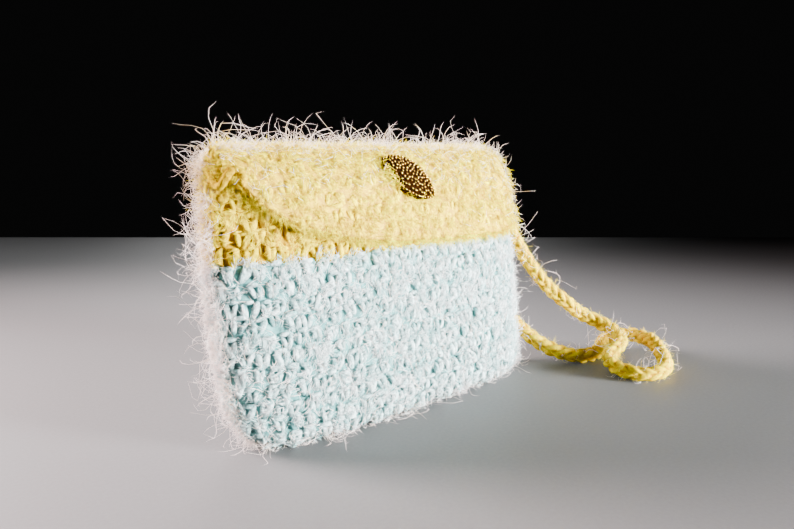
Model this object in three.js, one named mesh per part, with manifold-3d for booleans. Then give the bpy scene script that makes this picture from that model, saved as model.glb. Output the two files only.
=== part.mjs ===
// Crochet coin purse: a soft pouch of pale aqua crochet with a yellow band round its mouth, a yellow
// flap folded over from the back, a beaded leaf ornament on the flap and a wrist strap of crochet
// chain sewn to the right seam. The purse stands on its base and leans back a little.
// Millimetres, +Z up, front towards -Y, right seam towards +X, origin in the middle of the base.

import * as THREE from 'three';
import { mergeVertices } from 'three/addons/utils/BufferGeometryUtils.js';
import Module from 'manifold-3d';

// Driving dimensions
const FABRIC = 4; // thickness of the crocheted fabric
const BASE_THICKNESS = 4.5; // the base is worked a little tighter and thicker than the walls
const GAP = 0.3; // clearance between pieces that touch
const LEAN = Math.tan(THREE.MathUtils.degToRad(7)); // how far the purse leans back per unit of height
const BAND_BOTTOM = 52.5; // height where the yarn changes from aqua to yellow
const BAND_TOP = 72; // rim of the mouth
const RIM_ROUNDING = 1.2; // rounding of the rim's edges
const RING_SEGMENTS = 48; // facets round the pouch and the band
const WALL_ROWS = [2.5, 8, 20, 38]; // heights of the facets' rings up the pouch's wall
const BAND_ROWS = [60, 66]; // and up the band
const CORNER_HEIGHT = 10; // where the inside of the wall begins to turn in to the base
const CORNER_RISE = 1; // how far over the base the turn ends
const CORNER_INSET = 1.5; // how far in from the wall the turn ends

const FLAP_LEFT = -61; // ends of the flap along the fold
const FLAP_RIGHT = 56;
const FLAP_REACH_LEFT = 64.5; // where the flap's curve across would come back to the middle plane
const FLAP_REACH_RIGHT = 60;
const FLAP_SQUARE = 4; // how flat the flap lies across the front
const FLAP_STAND_OFF = 0.6; // between the flap and the band's front at its fullest
const FLAP_LIFT = 1.2; // how much further the lower edge stands off
const FLAP_LOW = 50; // height to which the flap's front line runs before its edge is cut
const FOLD_FOOT = 70; // height where the fold passes into the flap's straight front
const FOLD_RISE_BACK = 15; // pull of the fold upwards at the back
const FOLD_RISE_FRONT = 15.5; // pull of the fold upwards at the front
const FLAP_COLUMNS = 26;
const FLAP_ROWS = 22;

const ORNAMENT_HALF_LENGTH = 10.8;
const ORNAMENT_HALF_WIDTH = 6.4;
const ORNAMENT_PLACE_X = 0.4; // right of the middle of the flap
const ORNAMENT_PLACE_ALONG = 30.5; // along the flap from its back edge
const ORNAMENT_TURN_DEG = -37; // long axis falls to the right
const ORNAMENT_SEGMENTS = 28;
const GRANULE_RADIUS = 0.92;
const GRANULE_SPACING = 1.95;
const GRANULE_ROWS = 7;
const GRANULE_SINK = 0.15; // how deep a granule's middle lies below the dome
const GRANULE_INSET = 0.55; // from the leaf's edge to the middles of the outer granules
const GRANULE_CLOSEST = 1.56; // granules nearer than this to another are left out
const GRANULE_SIDES = 10;
const GRANULE_RINGS = 4;

const STRAP_DIAMETER = 5;
const STRAP_SIDES = 10;
const STRAP_STEPS = 88;

// Outer sections of the pouch: reach to the left and right seams, depth of the front and back panels
// from the middle, and how square the section's ends are
const SECTIONS = [
  { z: 0, left: 53, right: 58.5, front: 11.5, back: 11, square: 2.6 },
  { z: 2.5, left: 57, right: 61, front: 12.8, back: 12, square: 2.7 },
  { z: 8, left: 60.5, right: 62.5, front: 13.6, back: 12.4, square: 2.8 },
  { z: 20, left: 63, right: 63, front: 13.8, back: 12.4, square: 2.9 },
  { z: 38, left: 64, right: 62.6, front: 13.2, back: 12, square: 3.1 },
  { z: 54, left: 63.6, right: 61.8, front: 12, back: 11.4, square: 3.4 },
  { z: 66, left: 62.8, right: 61.2, front: 10.8, back: 10.6, square: 3.8 },
  { z: 75, left: 62.2, right: 61, front: 10, back: 10, square: 4 },
];

// Length of the flap from its back edge to its free edge, at shares of its width from left to right
const FLAP_EDGE = [
  { share: 0, length: 21 },
  { share: 0.05, length: 31.5 },
  { share: 0.11, length: 38.5 },
  { share: 0.18, length: 43 },
  { share: 0.27, length: 46.5 },
  { share: 0.4, length: 49.5 },
  { share: 0.6, length: 51 },
  { share: 0.8, length: 51 },
  { share: 0.93, length: 49.5 },
  { share: 1, length: 46.5 },
];

// Dome of the ornament: share of the way out from its middle, and height over its back
const DOME = [
  { share: 0, height: 3.2 },
  { share: 0.35, height: 2.95 },
  { share: 0.65, height: 2.3 },
  { share: 0.88, height: 1.4 },
  { share: 1, height: 0.8 },
];

// Middle line of the strap, from its front end on the seam to its back end
const STRAP_ROUTE = [
  [64.1, 5.4, 64.5], [64.6, 5, 57.6], [67.8, 3, 49.6], [72.6, 0.8, 41.6], [77.8, -2, 33.8],
  [83.2, -5.6, 27], [88.5, -10, 21.4], [95, -12.5, 16.6], [99, -17.5, 13.4], [100, -23, 11.3],
  [98, -28, 9.7], [94, -31.3, 8.2], [89.2, -32.6, 6.8], [84.2, -33, 5.6], [79.5, -35.2, 4.5],
  [76.5, -39.4, 3.5], [76.1, -44.6, 2.9], [78.3, -49.2, 2.7], [82.6, -52.1, 2.9], [88, -52.5, 3.5],
  [94.2, -49.8, 4.4], [101, -44.9, 5.3], [107.3, -39.6, 6.1], [111.8, -34, 6.6], [113.3, -29, 6.7],
  [112.2, -24.2, 6.4], [108.9, -20.7, 5.7], [104.2, -19.2, 4.7], [99.2, -20.2, 3.7],
  [92.8, -22.4, 2.9], [86, -22.4, 2.7], [80, -19, 2.9], [75.8, -13, 4.6], [73.2, -7.2, 7.2],
  [70.8, -1.2, 11.2], [68.4, 4.6, 17], [66.6, 9, 25], [65, 11.1, 36], [64.2, 11.6, 47.5],
  [63.9, 11.4, 58],
];

const wasm = await Module();
wasm.setup();

// A smooth curve through the named columns of a table, read at values of its first column
function tableCurve(table, first, columns) {
  const at = table.map((row) => row[first]);
  const values = table.flatMap((row) => columns.map((column) => row[column]));
  return new THREE.CubicInterpolant(at, values, columns.length);
}

const sectionCurve = tableCurve(SECTIONS, 'z', ['left', 'right', 'front', 'back', 'square']);
const flapEdgeCurve = tableCurve(FLAP_EDGE, 'share', ['length']);
const domeCurve = tableCurve(DOME, 'share', ['height']);

// Keeps only positions and joins the vertices that meet
function weld(geometry) {
  geometry.deleteAttribute('normal');
  geometry.deleteAttribute('uv');
  const welded = mergeVertices(geometry);
  welded.computeVertexNormals();
  return welded;
}

// Moves every vertex of a geometry to where the given function puts it
function reshape(geometry, place) {
  const position = geometry.attributes.position;
  const vertex = new THREE.Vector3();
  for (let i = 0; i < position.count; i += 1) {
    vertex.fromBufferAttribute(position, i);
    const moved = place(vertex, i);
    position.setXYZ(i, moved.x, moved.y, moved.z);
  }
  return weld(geometry);
}

// Signed power: keeps the sign of a sine or cosine in a rounded-box section
function bulge(value, square) {
  return Math.sign(value) * Math.abs(value) ** (2 / square);
}

// Point of the pouch at a height and an angle round it, inset from the outside
function pouchPoint(z, angle, inset) {
  const [left, right, front, back, square] = sectionCurve.evaluate(z);
  const along = Math.cos(angle);
  const across = Math.sin(angle);
  const reachX = (along < 0 ? left : right) - inset;
  const reachY = (across < 0 ? front : back) - inset;
  return new THREE.Vector3(
    bulge(along, square) * reachX,
    bulge(across, square) * reachY + LEAN * z,
    z,
  );
}

// Crocheted shell turned from rows of height and inset; a row with no inset lies on the middle line
function shell(rows) {
  const outline = rows.map((row) => new THREE.Vector2(row.inset === undefined ? 0 : 1, row.z));
  const turned = new THREE.LatheGeometry(outline, RING_SEGMENTS);
  return reshape(turned, (vertex, i) => {
    const row = rows[i % rows.length];
    const angle = (2 * Math.PI * Math.floor(i / rows.length)) / RING_SEGMENTS;
    if (row.inset === undefined) {
      return new THREE.Vector3(0, LEAN * row.z, row.z);
    }
    return pouchPoint(row.z, angle, row.inset);
  });
}

// Lower bag: closed base, hollow inside, open at the top
function pouchBody() {
  const outer = WALL_ROWS.map((z) => ({ z, inset: 0 }));
  const inner = WALL_ROWS.filter((z) => z > CORNER_HEIGHT).map((z) => ({ z, inset: FABRIC }));
  return shell([
    { z: 0 },
    { z: 0, inset: 0 },
    ...outer,
    { z: BAND_BOTTOM, inset: 0 },
    { z: BAND_BOTTOM, inset: FABRIC },
    ...inner.reverse(),
    { z: CORNER_HEIGHT, inset: FABRIC },
    { z: BASE_THICKNESS + CORNER_RISE, inset: FABRIC + CORNER_INSET },
    { z: BASE_THICKNESS },
  ]);
}

// Ring of the mouth, with a rounded rim
function topBand() {
  const low = BAND_BOTTOM + GAP;
  const shoulder = BAND_TOP - RIM_ROUNDING;
  const outer = BAND_ROWS.map((z) => ({ z, inset: 0 }));
  const inner = BAND_ROWS.map((z) => ({ z, inset: FABRIC }));
  return shell([
    { z: low, inset: 0 },
    ...outer,
    { z: shoulder, inset: 0 },
    { z: BAND_TOP, inset: RIM_ROUNDING },
    { z: BAND_TOP, inset: FABRIC - RIM_ROUNDING },
    { z: shoulder, inset: FABRIC },
    ...inner.reverse(),
    { z: low, inset: FABRIC },
    { z: low, inset: 0 },
  ]);
}

// Depth of the flap's middle layer from the purse's middle plane, at a place across and a height
function flapDepth(x, z, side) {
  const [, , front, back] = sectionCurve.evaluate(z);
  const reach = x < 0 ? FLAP_REACH_LEFT : FLAP_REACH_RIGHT;
  const fullness = (1 - Math.abs(x / reach) ** FLAP_SQUARE) ** (1 / FLAP_SQUARE);
  if (side === 'back') {
    return back * fullness - FABRIC / 2;
  }
  return (front + FLAP_STAND_OFF) * fullness + FABRIC / 2;
}

// Line of the flap's middle layer at a place across: up from the back rim, over and down the front
function flapLine(x) {
  const start = new THREE.Vector3(x, 0, BAND_TOP + GAP);
  start.y = LEAN * start.z + flapDepth(x, BAND_TOP, 'back');
  const foot = new THREE.Vector3(x, 0, FOLD_FOOT);
  foot.y = LEAN * FOLD_FOOT - flapDepth(x, FOLD_FOOT, 'front');
  const low = new THREE.Vector3(x, 0, FLAP_LOW);
  low.y = LEAN * FLAP_LOW - flapDepth(x, FLAP_LOW, 'front') - FLAP_LIFT;
  const upwards = foot.clone().sub(low).normalize();
  const line = new THREE.CurvePath();
  line.add(new THREE.CubicBezierCurve3(
    start,
    start.clone().add(new THREE.Vector3(0, LEAN * FOLD_RISE_BACK, FOLD_RISE_BACK)),
    foot.clone().addScaledVector(upwards, FOLD_RISE_FRONT),
    foot,
  ));
  line.add(new THREE.LineCurve3(foot, low));
  return line;
}

// Point and outward direction at a distance along the flap's line
function flapFrame(line, distance) {
  const share = distance / line.getLength();
  const point = line.getPointAt(share);
  const onward = line.getTangentAt(share);
  const outward = new THREE.Vector3(0, onward.z, -onward.y).normalize();
  return { point, onward, outward };
}

// Flap: a sheet laid along those lines and cut to the length of its free edge
function flap() {
  const lines = [];
  for (let column = 0; column <= FLAP_COLUMNS; column += 1) {
    const share = column / FLAP_COLUMNS;
    const line = flapLine(THREE.MathUtils.lerp(FLAP_LEFT, FLAP_RIGHT, share));
    const length = flapEdgeCurve.evaluate(share)[0];
    lines.push({ line, length });
  }
  const sheet = new THREE.BoxGeometry(1, 1, 1, FLAP_COLUMNS, FLAP_ROWS, 1);
  return reshape(sheet, (vertex) => {
    const { line, length } = lines[Math.round((vertex.x + 0.5) * FLAP_COLUMNS)];
    const { point, outward } = flapFrame(line, (0.5 - vertex.y) * length);
    return point.addScaledVector(outward, vertex.z * FABRIC);
  });
}

// Place on the leaf shape: share of the way out, and angle round it
function leafPoint(share, angle) {
  const x = ORNAMENT_HALF_LENGTH * Math.cos(angle);
  const y = ORNAMENT_HALF_WIDTH * Math.sin(angle) * Math.abs(Math.sin(angle));
  return new THREE.Vector2(x, y).multiplyScalar(share);
}

// Smooth dome under the granules
function ornamentDome() {
  const profile = [new THREE.Vector2(0, 0), new THREE.Vector2(1, 0)];
  for (const { share, height } of [...DOME].reverse()) {
    profile.push(new THREE.Vector2(share, height));
  }
  const turned = new THREE.LatheGeometry(profile, ORNAMENT_SEGMENTS);
  return reshape(turned, (vertex, i) => {
    const { x: share, y: height } = profile[i % profile.length];
    const angle = (2 * Math.PI * Math.floor(i / profile.length)) / ORNAMENT_SEGMENTS;
    const place = leafPoint(share, angle);
    return new THREE.Vector3(place.x, place.y, height);
  });
}

// Middles of the granules, in rows that run from tip to tip and bend with the leaf's edge
function granulePlaces() {
  const places = [];
  for (let row = 0; row < GRANULE_ROWS; row += 1) {
    const reach = (ORNAMENT_HALF_WIDTH - GRANULE_INSET) * ((2 * row) / (GRANULE_ROWS - 1) - 1);
    const half = ORNAMENT_HALF_LENGTH - GRANULE_INSET;
    const count = Math.round((2 * half) / GRANULE_SPACING);
    for (let i = 0; i <= count; i += 1) {
      const x = half * ((2 * i) / count - 1);
      const y = reach * (1 - (x / half) ** 2);
      const width = ORNAMENT_HALF_WIDTH * (1 - (x / ORNAMENT_HALF_LENGTH) ** 2);
      const share = Math.max(Math.abs(x) / ORNAMENT_HALF_LENGTH, Math.abs(y) / width);
      const z = domeCurve.evaluate(Math.min(share, 1))[0] - GRANULE_SINK;
      const place = new THREE.Vector3(x, y, z);
      if (places.every((other) => other.distanceTo(place) > GRANULE_CLOSEST)) {
        places.push(place);
      }
    }
  }
  return places;
}

function toSolid(geometry) {
  return new wasm.Manifold(new wasm.Mesh({
    numProp: 3,
    vertProperties: new Float32Array(geometry.attributes.position.array),
    triVerts: new Uint32Array(geometry.index.array),
  }));
}

function toGeometry(solid) {
  const mesh = solid.getMesh();
  const geometry = new THREE.BufferGeometry();
  geometry.setAttribute('position', new THREE.BufferAttribute(mesh.vertProperties, 3));
  geometry.setIndex(new THREE.BufferAttribute(mesh.triVerts, 1));
  geometry.computeVertexNormals();
  return geometry;
}

// Ornament cast in one: the dome with its granules raised on it
function beadedOrnament() {
  let solid = toSolid(ornamentDome());
  for (const place of granulePlaces()) {
    const granule = new THREE.SphereGeometry(GRANULE_RADIUS, GRANULE_SIDES, GRANULE_RINGS);
    granule.rotateX(Math.PI / 2);
    granule.translate(place.x, place.y, place.z);
    solid = solid.add(toSolid(weld(granule)));
  }
  return toGeometry(solid);
}

// Sets the ornament's flat back on the outside of the flap
function seatOrnament(ornament) {
  const line = flapLine(ORNAMENT_PLACE_X);
  const { point, onward, outward } = flapFrame(line, ORNAMENT_PLACE_ALONG);
  const across = new THREE.Vector3(1, 0, 0);
  const axes = new THREE.Matrix4().makeBasis(across, onward.clone().negate(), outward);
  const turn = new THREE.Quaternion().setFromAxisAngle(
    new THREE.Vector3(0, 0, 1),
    THREE.MathUtils.degToRad(ORNAMENT_TURN_DEG),
  );
  ornament.quaternion.setFromRotationMatrix(axes).multiply(turn);
  ornament.position.copy(point).addScaledVector(outward, FABRIC / 2 + GAP);
}

// Strap: a round cord along its route
function wristStrap() {
  const route = new THREE.CatmullRomCurve3(STRAP_ROUTE.map((place) => new THREE.Vector3(...place)));
  const section = new THREE.Shape();
  section.absarc(0, 0, STRAP_DIAMETER / 2, 0, 2 * Math.PI);
  const tube = new THREE.ExtrudeGeometry(section, {
    steps: STRAP_STEPS,
    curveSegments: STRAP_SIDES / 2,
    extrudePath: route,
  });
  return weld(tube);
}

function piece(name, geometry, color, roughness, metalness) {
  const material = new THREE.MeshStandardMaterial({ color, roughness, metalness });
  const mesh = new THREE.Mesh(geometry, material);
  mesh.name = name;
  return mesh;
}

const AQUA = '#c3dcdc';
const YELLOW = '#efd887';
const STRAP_YELLOW = '#eccf62';
const ANTIQUE_GOLD = '#9c7a3c';

const purse = new THREE.Group();
const ornament = piece('beaded_ornament', beadedOrnament(), ANTIQUE_GOLD, 0.35, 1);
seatOrnament(ornament);
purse.add(
  piece('pouch_body', pouchBody(), AQUA, 0.95, 0),
  piece('top_band', topBand(), YELLOW, 0.95, 0),
  piece('flap', flap(), YELLOW, 0.95, 0),
  ornament,
  piece('wrist_strap', wristStrap(), STRAP_YELLOW, 0.9, 0),
);

export default purse;
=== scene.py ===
import math

import bpy
import numpy as np
from mathutils import Euler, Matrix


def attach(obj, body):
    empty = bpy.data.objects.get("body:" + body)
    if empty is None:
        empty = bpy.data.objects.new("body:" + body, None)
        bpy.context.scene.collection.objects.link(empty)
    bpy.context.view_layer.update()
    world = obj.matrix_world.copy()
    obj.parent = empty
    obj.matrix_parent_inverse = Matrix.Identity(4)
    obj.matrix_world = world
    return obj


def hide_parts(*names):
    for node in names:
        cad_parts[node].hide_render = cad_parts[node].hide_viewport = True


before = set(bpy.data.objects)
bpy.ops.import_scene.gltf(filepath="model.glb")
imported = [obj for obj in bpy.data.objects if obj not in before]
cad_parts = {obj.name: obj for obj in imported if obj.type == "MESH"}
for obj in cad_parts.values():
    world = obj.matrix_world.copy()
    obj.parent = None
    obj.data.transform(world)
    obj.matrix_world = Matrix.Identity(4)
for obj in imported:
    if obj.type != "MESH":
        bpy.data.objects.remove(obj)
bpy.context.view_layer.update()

MM = 0.001
rng = np.random.default_rng(41)

# Sizes of the purse in millimetres, as its solids have them
FABRIC = 4.0
LEAN = math.tan(math.radians(7))
BAND_BOTTOM = 52.5
BAND_TOP = 72.0
FLAP_LEFT, FLAP_RIGHT = -61.0, 56.0
FLAP_REACH_LEFT, FLAP_REACH_RIGHT = 64.5, 60.0
FLAP_SQUARE = 4.0
FLAP_STAND_OFF, FLAP_LIFT, FLAP_LOW = 0.6, 1.2, 50.0
FOLD_FOOT, FOLD_RISE_BACK, FOLD_RISE_FRONT = 70.0, 15.0, 15.5
STRAP_DIAMETER = 5.0

# Crochet gauge
STITCHES_ROUND = 54
ROW_HEIGHT = 4.77
STITCH_WIDTH = 5.5
ROWS_AQUA, ROWS_BAND = 11, 4

# Names of material slots; no piece is given a slot
AQUA, YELLOW, CHAIN, GOLD = "aqua_crochet", "yellow_crochet", "yellow_chain", "antique_gold"

# Outer sections of the pouch: height, reach to the left and right, depth of the front and back, squareness
SECTIONS = [
    (0, 53, 58.5, 11.5, 11, 2.6),
    (2.5, 57, 61, 12.8, 12, 2.7),
    (8, 60.5, 62.5, 13.6, 12.4, 2.8),
    (20, 63, 63, 13.8, 12.4, 2.9),
    (38, 64, 62.6, 13.2, 12, 3.1),
    (54, 63.6, 61.8, 12, 11.4, 3.4),
    (66, 62.8, 61.2, 10.8, 10.6, 3.8),
    (75, 62.2, 61, 10, 10, 4),
]

# Flap's length from its back edge to its free edge, at shares of its width from the left
FLAP_EDGE = [(0, 21), (0.05, 31.5), (0.11, 38.5), (0.18, 43), (0.27, 46.5), (0.4, 49.5), (0.6, 51),
             (0.8, 51), (0.93, 49.5), (1, 46.5)]
FLAP_LONGEST = 51.0

# Strap's middle line, from its front end on the seam to its back end
STRAP_ROUTE = [
    (64.1, 5.4, 64.5), (64.6, 5, 57.6), (67.8, 3, 49.6), (72.6, 0.8, 41.6), (77.8, -2, 33.8),
    (83.2, -5.6, 27), (88.5, -10, 21.4), (95, -12.5, 16.6), (99, -17.5, 13.4), (100, -23, 11.3),
    (98, -28, 9.7), (94, -31.3, 8.2), (89.2, -32.6, 6.8), (84.2, -33, 5.6), (79.5, -35.2, 4.5),
    (76.5, -39.4, 3.5), (76.1, -44.6, 2.9), (78.3, -49.2, 2.7), (82.6, -52.1, 2.9), (88, -52.5, 3.5),
    (94.2, -49.8, 4.4), (101, -44.9, 5.3), (107.3, -39.6, 6.1), (111.8, -34, 6.6), (113.3, -29, 6.7),
    (112.2, -24.2, 6.4), (108.9, -20.7, 5.7), (104.2, -19.2, 4.7), (99.2, -20.2, 3.7),
    (92.8, -22.4, 2.9), (86, -22.4, 2.7), (80, -19, 2.9), (75.8, -13, 4.6), (73.2, -7.2, 7.2),
    (70.8, -1.2, 11.2), (68.4, 4.6, 17), (66.6, 9, 25), (65, 11.1, 36), (64.2, 11.6, 47.5),
    (63.9, 11.4, 58),
]

# Camera at the photograph's angle: metres, degrees and picture points
CAMERA_PLACE = (-0.1535, -0.1609, 0.0829)
CAMERA_TURN, CAMERA_TILT = -43.73, -9.3
FOCAL_LENGTH, PICTURE_WIDTH, SENSOR_WIDTH = 683.7, 794, 36


def set_camera():
    bpy.ops.object.camera_add(location=CAMERA_PLACE)
    camera = bpy.context.object
    camera.name = "camera"
    camera.rotation_euler = Euler((math.radians(90 + CAMERA_TILT), 0, math.radians(CAMERA_TURN)))
    camera.data.sensor_width = SENSOR_WIDTH
    camera.data.lens = FOCAL_LENGTH / PICTURE_WIDTH * SENSOR_WIDTH
    camera.data.clip_start = 0.01
    bpy.context.scene.camera = camera


set_camera()


# Finishes
class Tap:
    """A socket in a finish's node tree; arithmetic on it adds Math nodes."""

    def __init__(self, tree, socket=None):
        self.tree, self.socket = tree, socket

    def add(self, kind, settings=None, values=None, out=0):
        """Adds a node, sets its settings and then its inputs, and gives back one of its outputs."""
        node = self.tree.nodes.new(kind)
        for name, setting in (settings or {}).items():
            setattr(node, name, setting)
        for name, value in (values or {}).items():
            if isinstance(value, Tap):
                self.tree.links.new(value.socket, node.inputs[name])
            else:
                node.inputs[name].default_value = value
        return Tap(self.tree, node.outputs[out])

    def maths(self, operation, first, second):
        return self.add("ShaderNodeMath", {"operation": operation}, {0: first, 1: second})

    def __add__(self, other):
        return self.maths("ADD", self, other)

    __radd__ = __add__

    def __sub__(self, other):
        return self.maths("SUBTRACT", self, other)

    def __rsub__(self, other):
        return self.maths("SUBTRACT", other, self)

    def __mul__(self, other):
        return self.maths("MULTIPLY", self, other)

    def clamped(self):
        return self.add("ShaderNodeClamp", None, {"Value": self})

    def blend(self, low, high):
        """Mixes two colours by this value."""
        low, high = (colour if isinstance(colour, Tap) else (*colour, 1) for colour in (low, high))
        return self.add("ShaderNodeMix", {"data_type": "RGBA"}, {"Factor": self, "A": low, "B": high}, 2)


def start_finish(name, specular=0.0):
    material = bpy.data.materials.new(name)
    material.use_nodes = True
    tree = material.node_tree
    shader = tree.nodes["Principled BSDF"]
    shader.inputs["Specular IOR Level"].default_value = specular
    return material, Tap(tree), shader


def link(tap, shader, name):
    tap.tree.links.new(tap.socket, shader.inputs[name])


def noise(tap, vector, scale, detail=2.0, roughness=0.5):
    return tap.add("ShaderNodeTexNoise", None,
                   {"Vector": vector, "Scale": scale, "Detail": detail, "Roughness": roughness})


def object_place(tap):
    return tap.add("ShaderNodeTexCoord", None, None, 3)


def piece_tone_and_shade(tap):
    """The piece's tone attribute: 0 where it lies deep, 1 on its crown or tip; on the yarn it is painted
    shade and light, on fibres the fade from root to tip, on the ornament its wear.
    """
    return tap.add("ShaderNodeAttribute", {"attribute_name": "tone_and_shade"}, None, 2)


def bump(tap, shader, strength, distance, height):
    values = {"Strength": strength, "Distance": distance, "Height": height}
    link(tap.add("ShaderNodeBump", None, values), shader, "Normal")


# Sizes of the noise in the finishes, in repeats to a metre, and the strands along and across the yarn's map
YARN_PATCH, YARN_FLUFF = 380.0, 1300.0
FIBRE_PATCH, FIBRE_CLOUD = 420.0, 150.0
GROUND_KNOT, GROUND_CLOUD = 330.0, 700.0
GOLD_WEAR = 900.0
FLOOR_GRAIN, FLOOR_CLOUD = 900.0, 6.0
YARN_STRANDS = (4.0, 26.0, 1.0)


def yarn_finish(name, shaded, light, bloom, shape_shade=0.7):
    """Fluffy yarn: a shaded colour where it dives in and a lit colour on its crown, as painted shade and
    light, and a pale bloom of fibres that also gathers on the crown as a painted highlight.

    The last argument sets how far the painted shade and light from the yarn's shape, rather than its fluff,
    set the colour.
    """
    material, tap, shader = start_finish(name)
    tone_and_shade = piece_tone_and_shade(tap)
    along = tap.add("ShaderNodeUVMap", {"uv_map": "yarn"})
    strands = tap.add("ShaderNodeVectorMath", {"operation": "MULTIPLY"}, {0: along, 1: YARN_STRANDS})
    streak = noise(tap, strands, 1.0, 3.0, 0.6)
    place = object_place(tap)
    patch = (noise(tap, place, YARN_PATCH) - 0.5) * 2.2
    fluff = noise(tap, place, YARN_FLUFF, 3.0, 0.65)
    grain = (fluff - 0.5) * 1.6
    # Painted shade and light: the yarn's shape darkens it where it dives in and lightens its crown, mixed
    # with random tone
    lift = (tone_and_shade * shape_shade + streak * 0.3 + patch * 0.5 + grain * 0.3 + (0.6 - 0.8 * shape_shade)).clamped()
    # Pale bloom of fibres, partly gathered on the crown as a painted highlight
    bloom_and_highlight = (tone_and_shade * shape_shade * 0.8 + patch * 0.8 + grain * 0.7 + (0.3 - 0.5 * shape_shade)).clamped()
    link(bloom_and_highlight.blend(lift.blend(shaded, light), bloom), shader, "Base Color")
    link(0.98 - streak * 0.2, shader, "Roughness")
    bump(tap, shader, 0.8, 0.0008, streak * 0.5 + fluff)
    return material


def fibre_finish(name, root, tip):
    """Loose fibres of the yarn: its colour at the root and pale towards the tip."""
    material, tap, shader = start_finish(name)
    place = object_place(tap)
    patches = noise(tap, place, FIBRE_PATCH, 1.0)
    cloud = noise(tap, place, FIBRE_CLOUD)
    share = (piece_tone_and_shade(tap) * 0.9 + patches * 0.9 + cloud * 2.4 - 1.3).clamped()
    link(share.blend(root, tip), shader, "Base Color")
    link(0.55 + patches * 0.3, shader, "Roughness")
    return material


def ground_finish(name, shaded, light):
    """Fabric seen between and behind the stitches, in colours darker than the yarn's as painted shade,
    darkest in the creases between its knots as painted shade.
    """
    material, tap, shader = start_finish(name)
    place = object_place(tap)
    knots = tap.add("ShaderNodeTexVoronoi", None, {"Vector": place, "Scale": GROUND_KNOT})
    cloud = noise(tap, place, GROUND_CLOUD, 3.0)
    # Painted shade: the shaded colour in the creases between the knots, the lit one on the knots
    share = (1.0 - knots * 1.1 + cloud * 0.5 - 0.4).clamped()
    link(share.blend(shaded, light), shader, "Base Color")
    link(0.85 + cloud * 0.15, shader, "Roughness")
    bump(tap, shader, 0.7, 0.0012, (1.0 - knots) * 0.8 + cloud * 0.4)
    return material


def gold_finish(name, dark, mid, bright):
    """Antiqued cast gold: polished on the granules, blackened between them."""
    material, tap, shader = start_finish(name)
    wear = noise(tap, object_place(tap), GOLD_WEAR, 3.0)
    rub = (piece_tone_and_shade(tap) * 2.1 + wear * 0.5 - 1.3).clamped()
    polish = ((rub - 0.55) * 2.4).clamped()
    link(polish.blend((rub * 1.8).clamped().blend(dark, mid), bright), shader, "Base Color")
    link(0.6 - rub * 0.42 + wear * 0.1, shader, "Roughness")
    link((rub * 2.2).clamped(), shader, "Metallic")
    return material


def floor_finish(name, colour, shade):
    """Pale matt floor with a faint grain."""
    material, tap, shader = start_finish(name, specular=0.5)
    place = object_place(tap)
    grain = noise(tap, place, FLOOR_GRAIN, 4.0)
    cloud = noise(tap, place, FLOOR_CLOUD)
    link((cloud * 0.6 + grain * 0.3).clamped().blend(colour, shade), shader, "Base Color")
    link(0.5 + grain * 0.25, shader, "Roughness")
    bump(tap, shader, 0.15, 0.0002, grain)
    return material


# Yarns: shaded colour where the yarn dives in and lit colour on its crown, as painted shade and light, then
# the pale bloom
AQUA_YARN = yarn_finish("aqua_yarn", (0.06, 0.19, 0.185), (0.24, 0.48, 0.48), (0.76, 0.83, 0.83), 0.5)
YELLOW_YARN = yarn_finish("yellow_yarn", (0.36, 0.2, 0.02), (0.68, 0.48, 0), (0.84, 0.68, 0))
FLAP_YARN = yarn_finish("flap_yarn", (0.5, 0.31, 0.03), (0.74, 0.55, 0), (0.86, 0.73, 0), 0.5)
# Greyed, shaded copy of the flap's yarn for the fold's ends: painted shade
FOLD_SHADE_YARN = yarn_finish("fold_shade_yarn", (0.42, 0.25, 0.08), (0.7, 0.5, 0.06), (0.84, 0.7, 0.12))
STRAP_YARN = yarn_finish("strap_yarn", (0.32, 0.13, 0), (0.7, 0.46, 0), (0.86, 0.65, 0))
# The tail's yarn is darker than the flap's, partly as painted shade of its crease
TAIL_YARN = yarn_finish("tail_yarn", (0.3, 0.16, 0), (0.6, 0.41, 0), (0.74, 0.55, 0))
# Grounds: darker than their yarns, as painted shade between and behind the stitches
AQUA_GROUND = ground_finish("aqua_ground", (0.09, 0.24, 0.235), (0.2, 0.43, 0.42))
YELLOW_GROUND = ground_finish("yellow_ground", (0.28, 0.15, 0), (0.54, 0.35, 0))
FLAP_GROUND = ground_finish("flap_ground", (0.44, 0.27, 0.03), (0.66, 0.48, 0))
# Greyed, shaded copy of the flap's ground for the fold's ends: painted shade
FOLD_SHADE_GROUND = ground_finish("fold_shade_ground", (0.46, 0.29, 0.12), (0.66, 0.46, 0.18))
AQUA_FIBRE = fibre_finish("aqua_fibre", (0.28, 0.52, 0.52), (0.78, 0.8, 0.8))
YELLOW_FIBRE = fibre_finish("yellow_fibre", (0.62, 0.43, 0), (0.86, 0.72, 0))
STRAP_FIBRE = fibre_finish("strap_fibre", (0.7, 0.48, 0), (0.88, 0.71, 0.1))
VEIL_FIBRE = fibre_finish("veil_fibre", (0.78, 0.62, 0.22), (0.86, 0.74, 0.58))
FOLD_FIBRE = fibre_finish("fold_fibre", (0.8, 0.58, 0.16), (0.9, 0.76, 0.7))
PALE_FIBRE = fibre_finish("pale_fibre", (0.84, 0.69, 0.57), (0.94, 0.81, 0.77))
ANTIQUE_GOLD = gold_finish("antique_gold", (0.014, 0.005, 0.001), (0.11, 0.05, 0.004), (0.48, 0.28, 0.05))
PALE_FLOOR = floor_finish("pale_floor", (0.13, 0.13, 0.132), (0.105, 0.105, 0.107))


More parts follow.
